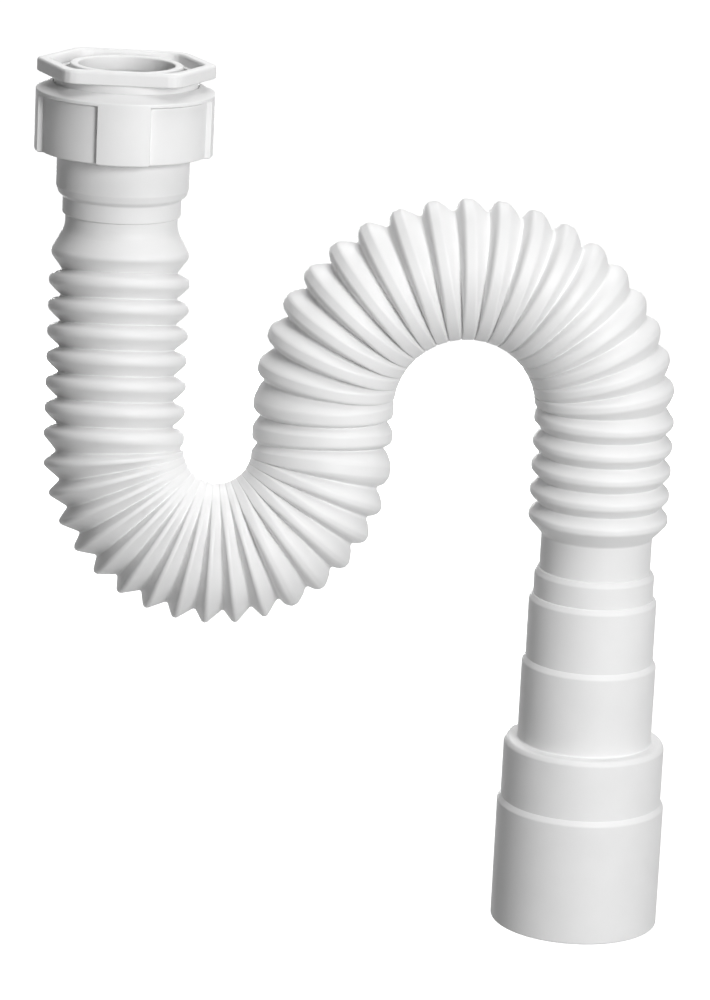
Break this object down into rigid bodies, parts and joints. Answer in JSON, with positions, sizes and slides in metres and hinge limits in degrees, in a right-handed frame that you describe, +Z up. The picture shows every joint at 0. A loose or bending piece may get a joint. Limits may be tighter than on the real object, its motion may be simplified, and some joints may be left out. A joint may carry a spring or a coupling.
{
  "type": "corrugated trap",
  "caption": "Flexible corrugated sink trap bent into an S, with a threaded coupling nut and reducing bush at the inlet and a stepped spigot tail at the outlet.",
  "frame": {"origin": "centre of the waste mouth, at the rim of the bush's inner tube", "axes": "+Z up along the inlet axis, +X from the inlet to the outlet tail, -Y towards the front"},
  "size_m": [0.1951, 0.062, 0.254],
  "materials": {
    "white_pipe": "satin white polypropylene",
    "white_fitting": "satin white polypropylene",
    "seal_rubber": "matt black rubber"
  },
  "bodies": {
    "trap": {"corrugated_pipe": "white_pipe", "flange_seal": "seal_rubber"},
    "nut": {"coupling_nut": "white_fitting"},
    "bush": {"reducing_bush": "white_fitting", "inlet_seal": "seal_rubber"}
  },
  "joints": [
    {"name": "nut_turn", "type": "hinge", "parent": "trap", "child": "nut", "pos_m": [0, 0, -0.0156], "axis": [0, 0, -1], "range_deg": [0, 1800]},
    {"name": "bush_lift", "type": "slide", "parent": "trap", "child": "bush", "axis": [0, 0, 1], "range_m": [0, 0.0116]}
  ],
  "couplings": [
    {"joint": "bush_lift", "follows": "nut_turn", "m_per_rad": 0.00036749}
  ]
}
